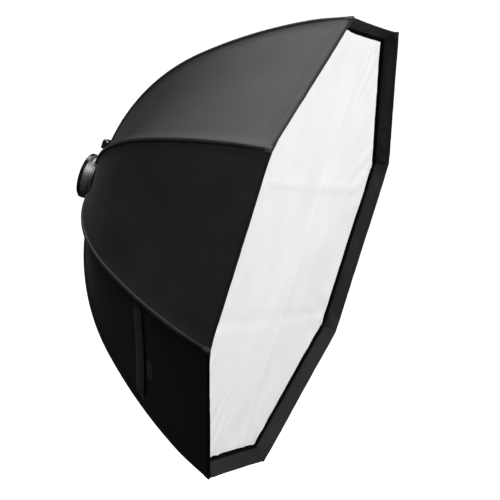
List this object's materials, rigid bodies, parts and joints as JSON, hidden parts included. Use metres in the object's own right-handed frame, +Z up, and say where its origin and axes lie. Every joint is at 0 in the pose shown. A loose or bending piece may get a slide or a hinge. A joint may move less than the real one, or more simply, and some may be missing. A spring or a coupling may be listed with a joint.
{
  "type": "octagonal softbox",
  "caption": "Folding octagonal softbox with hinged spring rods, black cloth shell, recessed white diffuser and a rotating collar mount.",
  "frame": {"origin": "on the optical axis, at the rear face of the mounting collar", "axes": "+Z up, the diffuser faces -Y, +X is to the right seen from the front"},
  "size_m": [1.2008, 0.634, 1.2008],
  "materials": {
    "moulded_plastic": "glossy black moulding",
    "collar_rubber": "ribbed matt rubber",
    "satin_metal": "satin grey anodised",
    "hub_metal": "dark grey anodised",
    "hub_plastic": "glass filled nylon",
    "steel": "zinc plated",
    "black_cloth": "coated nylon, silver inside",
    "diffuser_cloth": "white translucent polyester",
    "tab_webbing": "white woven tape",
    "rod_steel": "spring steel, oiled",
    "knuckle_plastic": "glass filled nylon"
  },
  "bodies": {
    "collar_mount": {"mount_ring": "moulded_plastic", "rubber_collar": "collar_rubber", "swivel_neck": "satin_metal", "retaining_ring": "satin_metal", "neck_screws": "steel"},
    "hub": {"hub_neck": "hub_metal", "hub_body": "hub_plastic", "hub_cover": "hub_plastic", "cover_screws": "steel", "pivot_pins": "steel", "hub_collar": "black_cloth", "front_diffuser": "diffuser_cloth"},
    "lock": {"lock_knob": "moulded_plastic", "lock_stud": "steel"},
    "release": {"release_ring": "hub_plastic"},
    "rib_1": {"rod_1": "rod_steel", "knuckle_1": "knuckle_plastic"},
    "panel_1a": {"gore_1a": "black_cloth"},
    "panel_1b": {"gore_1b": "black_cloth"},
    "corner_1": {"diffuser_tab_1": "tab_webbing"},
    "rib_2": {"rod_2": "rod_steel", "knuckle_2": "knuckle_plastic"},
    "panel_2a": {"gore_2a": "black_cloth"},
    "panel_2b": {"gore_2b": "black_cloth"},
    "corner_2": {"diffuser_tab_2": "tab_webbing"},
    "rib_3": {"rod_3": "rod_steel", "knuckle_3": "knuckle_plastic"},
    "panel_3a": {"gore_3a": "black_cloth"},
    "panel_3b": {"gore_3b": "black_cloth"},
    "corner_3": {"diffuser_tab_3": "tab_webbing"},
    "rib_4": {"rod_4": "rod_steel", "knuckle_4": "knuckle_plastic"},
    "panel_4a": {"gore_4a": "black_cloth"},
    "panel_4b": {"gore_4b": "black_cloth"},
    "corner_4": {"diffuser_tab_4": "tab_webbing"},
    "rib_5": {"rod_5": "rod_steel", "knuckle_5": "knuckle_plastic"},
    "panel_5a": {"gore_5a": "black_cloth"},
    "panel_5b": {"gore_5b": "black_cloth"},
    "corner_5": {"diffuser_tab_5": "tab_webbing"},
    "rib_6": {"rod_6": "rod_steel", "knuckle_6": "knuckle_plastic"},
    "panel_6a": {"gore_6a": "black_cloth"},
    "panel_6b": {"gore_6b": "black_cloth"},
    "corner_6": {"diffuser_tab_6": "tab_webbing"},
    "rib_7": {"rod_7": "rod_steel", "knuckle_7": "knuckle_plastic"},
    "panel_7a": {"gore_7a": "black_cloth"},
    "panel_7b": {"gore_7b": "black_cloth"},
    "corner_7": {"diffuser_tab_7": "tab_webbing"},
    "rib_8": {"rod_8": "rod_steel", "knuckle_8": "knuckle_plastic"},
    "panel_8a": {"gore_8a": "black_cloth"},
    "panel_8b": {"gore_8b": "black_cloth"},
    "corner_8": {"diffuser_tab_8": "tab_webbing"}
  },
  "joints": [
    {"name": "hub_rotation", "type": "hinge", "parent": "collar_mount", "child": "hub", "pos_m": [0, -0.05, 0], "axis": [0, 1, 0], "continuous": true},
    {"name": "lock_knob_turn", "type": "hinge", "parent": "hub", "child": "lock", "pos_m": [0, -0.032, 0.09], "axis": [0, 0, 1], "range_deg": [0, 360]},
    {"name": "release_twist", "type": "hinge", "parent": "hub", "child": "release", "pos_m": [0, -0.073, 0], "axis": [0, -1, 0], "range_deg": [0, 20]},
    {"name": "rib_1_fold", "type": "hinge", "parent": "hub", "child": "rib_1", "pos_m": [-0.02985, -0.0586, 0.07206], "axis": [0.9239, 0, 0.3827], "range_deg": [0, 45], "deforming": ["front_diffuser", "gore_1a", "gore_1b", "gore_2a", "gore_2b", "gore_3a", "gore_3b", "gore_4a", "gore_4b", "gore_5a", "gore_5b", "gore_6a", "gore_6b", "gore_7a", "gore_7b", "gore_8a", "gore_8b"]},
    {"name": "panel_1a_pleat", "type": "hinge", "parent": "rib_1", "child": "panel_1a", "pos_m": [-0.0597, -0.0586, 0.0597], "axis": [-0.6604, 0.3574, 0.6604], "range_deg": [-0.5, 17.34]},
    {"name": "panel_1b_pleat", "type": "hinge", "parent": "rib_1", "child": "panel_1b", "pos_m": [0, -0.0586, 0.08443], "axis": [0, -0.3574, -0.9339], "range_deg": [-0.5, 17.34]},
    {"name": "corner_1_fold", "type": "hinge", "parent": "rib_1", "child": "corner_1", "pos_m": [-0.23516, -0.5965, 0.56772], "axis": [0.9239, 0, 0.3827], "range_deg": [-0.5, 38.3]},
    {"name": "rib_2_fold", "type": "hinge", "parent": "hub", "child": "rib_2", "pos_m": [0.02985, -0.0586, 0.07206], "axis": [0.9239, 0, -0.3827], "range_deg": [-0.5, 45.5]},
    {"name": "panel_2a_pleat", "type": "hinge", "parent": "rib_2", "child": "panel_2a", "pos_m": [0, -0.0586, 0.08443], "axis": [0, 0.3574, 0.9339], "range_deg": [-0.5, 17.34]},
    {"name": "panel_2b_pleat", "type": "hinge", "parent": "rib_2", "child": "panel_2b", "pos_m": [0.0597, -0.0586, 0.0597], "axis": [-0.6604, -0.3574, -0.6604], "range_deg": [-0.5, 17.34]},
    {"name": "corner_2_fold", "type": "hinge", "parent": "rib_2", "child": "corner_2", "pos_m": [0.23516, -0.5965, 0.56772], "axis": [0.9239, 0, -0.3827], "range_deg": [-0.5, 38.3]},
    {"name": "rib_3_fold", "type": "hinge", "parent": "hub", "child": "rib_3", "pos_m": [0.07206, -0.0586, 0.02985], "axis": [0.3827, 0, -0.9239], "range_deg": [-0.5, 45.5]},
    {"name": "panel_3a_pleat", "type": "hinge", "parent": "rib_3", "child": "panel_3a", "pos_m": [0.0597, -0.0586, 0.0597], "axis": [0.6604, 0.3574, 0.6604], "range_deg": [-0.5, 17.34]},
    {"name": "panel_3b_pleat", "type": "hinge", "parent": "rib_3", "child": "panel_3b", "pos_m": [0.08443, -0.0586, 0], "axis": [-0.9339, -0.3574, 0], "range_deg": [-0.5, 17.34]},
    {"name": "corner_3_fold", "type": "hinge", "parent": "rib_3", "child": "corner_3", "pos_m": [0.56772, -0.5965, 0.23516], "axis": [0.3827, 0, -0.9239], "range_deg": [-0.5, 38.3]},
    {"name": "rib_4_fold", "type": "hinge", "parent": "hub", "child": "rib_4", "pos_m": [0.07206, -0.0586, -0.02985], "axis": [-0.3827, 0, -0.9239], "range_deg": [-0.5, 45.5]},
    {"name": "panel_4a_pleat", "type": "hinge", "parent": "rib_4", "child": "panel_4a", "pos_m": [0.08443, -0.0586, 0], "axis": [0.9339, 0.3574, 0], "range_deg": [-0.5, 17.34]},
    {"name": "panel_4b_pleat", "type": "hinge", "parent": "rib_4", "child": "panel_4b", "pos_m": [0.0597, -0.0586, -0.0597], "axis": [-0.6604, -0.3574, 0.6604], "range_deg": [-0.5, 17.34]},
    {"name": "corner_4_fold", "type": "hinge", "parent": "rib_4", "child": "corner_4", "pos_m": [0.56772, -0.5965, -0.23516], "axis": [-0.3827, 0, -0.9239], "range_deg": [-0.5, 38.3]},
    {"name": "rib_5_fold", "type": "hinge", "parent": "hub", "child": "rib_5", "pos_m": [0.02985, -0.0586, -0.07206], "axis": [-0.9239, 0, -0.3827], "range_deg": [-0.5, 45.5]},
    {"name": "panel_5a_pleat", "type": "hinge", "parent": "rib_5", "child": "panel_5a", "pos_m": [0.0597, -0.0586, -0.0597], "axis": [0.6604, 0.3574, -0.6604], "range_deg": [-0.5, 17.34]},
    {"name": "panel_5b_pleat", "type": "hinge", "parent": "rib_5", "child": "panel_5b", "pos_m": [0, -0.0586, -0.08443], "axis": [0, -0.3574, 0.9339], "range_deg": [-0.5, 17.34]},
    {"name": "corner_5_fold", "type": "hinge", "parent": "rib_5", "child": "corner_5", "pos_m": [0.23516, -0.5965, -0.56772], "axis": [-0.9239, 0, -0.3827], "range_deg": [-0.5, 38.3]},
    {"name": "rib_6_fold", "type": "hinge", "parent": "hub", "child": "rib_6", "pos_m": [-0.02985, -0.0586, -0.07206], "axis": [-0.9239, 0, 0.3827], "range_deg": [-0.5, 45.5]},
    {"name": "panel_6a_pleat", "type": "hinge", "parent": "rib_6", "child": "panel_6a", "pos_m": [0, -0.0586, -0.08443], "axis": [0, 0.3574, -0.9339], "range_deg": [-0.5, 17.34]},
    {"name": "panel_6b_pleat", "type": "hinge", "parent": "rib_6", "child": "panel_6b", "pos_m": [-0.0597, -0.0586, -0.0597], "axis": [0.6604, -0.3574, 0.6604], "range_deg": [-0.5, 17.34]},
    {"name": "corner_6_fold", "type": "hinge", "parent": "rib_6", "child": "corner_6", "pos_m": [-0.23516, -0.5965, -0.56772], "axis": [-0.9239, 0, 0.3827], "range_deg": [-0.5, 38.3]},
    {"name": "rib_7_fold", "type": "hinge", "parent": "hub", "child": "rib_7", "pos_m": [-0.07206, -0.0586, -0.02985], "axis": [-0.3827, 0, 0.9239], "range_deg": [-0.5, 45.5]},
    {"name": "panel_7a_pleat", "type": "hinge", "parent": "rib_7", "child": "panel_7a", "pos_m": [-0.0597, -0.0586, -0.0597], "axis": [-0.6604, 0.3574, -0.6604], "range_deg": [-0.5, 17.34]},
    {"name": "panel_7b_pleat", "type": "hinge", "parent": "rib_7", "child": "panel_7b", "pos_m": [-0.08443, -0.0586, 0], "axis": [0.9339, -0.3574, 0], "range_deg": [-0.5, 17.34]},
    {"name": "corner_7_fold", "type": "hinge", "parent": "rib_7", "child": "corner_7", "pos_m": [-0.56772, -0.5965, -0.23516], "axis": [-0.3827, 0, 0.9239], "range_deg": [-0.5, 38.3]},
    {"name": "rib_8_fold", "type": "hinge", "parent": "hub", "child": "rib_8", "pos_m": [-0.07206, -0.0586, 0.02985], "axis": [0.3827, 0, 0.9239], "range_deg": [-0.5, 45.5]},
    {"name": "panel_8a_pleat", "type": "hinge", "parent": "rib_8", "child": "panel_8a", "pos_m": [-0.08443, -0.0586, 0], "axis": [-0.9339, 0.3574, 0], "range_deg": [-0.5, 17.34]},
    {"name": "panel_8b_pleat", "type": "hinge", "parent": "rib_8", "child": "panel_8b", "pos_m": [-0.0597, -0.0586, 0.0597], "axis": [0.6604, -0.3574, -0.6604], "range_deg": [-0.5, 17.34]},
    {"name": "corner_8_fold", "type": "hinge", "parent": "rib_8", "child": "corner_8", "pos_m": [-0.56772, -0.5965, 0.23516], "axis": [0.3827, 0, 0.9239], "range_deg": [-0.5, 38.3]}
  ],
  "couplings": [
    {"joint": "panel_1a_pleat", "follows": "rib_1_fold", "ratio": 0.37427},
    {"joint": "panel_1b_pleat", "follows": "rib_1_fold", "ratio": 0.37427},
    {"joint": "corner_1_fold", "follows": "rib_1_fold", "ratio": 0.84001},
    {"joint": "rib_2_fold", "follows": "rib_1_fold", "ratio": 1},
    {"joint": "panel_2a_pleat", "follows": "rib_1_fold", "ratio": 0.37427},
    {"joint": "panel_2b_pleat", "follows": "rib_1_fold", "ratio": 0.37427},
    {"joint": "corner_2_fold", "follows": "rib_1_fold", "ratio": 0.84001},
    {"joint": "rib_3_fold", "follows": "rib_1_fold", "ratio": 1},
    {"joint": "panel_3a_pleat", "follows": "rib_1_fold", "ratio": 0.37427},
    {"joint": "panel_3b_pleat", "follows": "rib_1_fold", "ratio": 0.37427},
    {"joint": "corner_3_fold", "follows": "rib_1_fold", "ratio": 0.84001},
    {"joint": "rib_4_fold", "follows": "rib_1_fold", "ratio": 1},
    {"joint": "panel_4a_pleat", "follows": "rib_1_fold", "ratio": 0.37427},
    {"joint": "panel_4b_pleat", "follows": "rib_1_fold", "ratio": 0.37427},
    {"joint": "corner_4_fold", "follows": "rib_1_fold", "ratio": 0.84001},
    {"joint": "rib_5_fold", "follows": "rib_1_fold", "ratio": 1},
    {"joint": "panel_5a_pleat", "follows": "rib_1_fold", "ratio": 0.37427},
    {"joint": "panel_5b_pleat", "follows": "rib_1_fold", "ratio": 0.37427},
    {"joint": "corner_5_fold", "follows": "rib_1_fold", "ratio": 0.84001},
    {"joint": "rib_6_fold", "follows": "rib_1_fold", "ratio": 1},
    {"joint": "panel_6a_pleat", "follows": "rib_1_fold", "ratio": 0.37427},
    {"joint": "panel_6b_pleat", "follows": "rib_1_fold", "ratio": 0.37427},
    {"joint": "corner_6_fold", "follows": "rib_1_fold", "ratio": 0.84001},
    {"joint": "rib_7_fold", "follows": "rib_1_fold", "ratio": 1},
    {"joint": "panel_7a_pleat", "follows": "rib_1_fold", "ratio": 0.37427},
    {"joint": "panel_7b_pleat", "follows": "rib_1_fold", "ratio": 0.37427},
    {"joint": "corner_7_fold", "follows": "rib_1_fold", "ratio": 0.84001},
    {"joint": "rib_8_fold", "follows": "rib_1_fold", "ratio": 1},
    {"joint": "panel_8a_pleat", "follows": "rib_1_fold", "ratio": 0.37427},
    {"joint": "panel_8b_pleat", "follows": "rib_1_fold", "ratio": 0.37427},
    {"joint": "corner_8_fold", "follows": "rib_1_fold", "ratio": 0.84001}
  ]
}
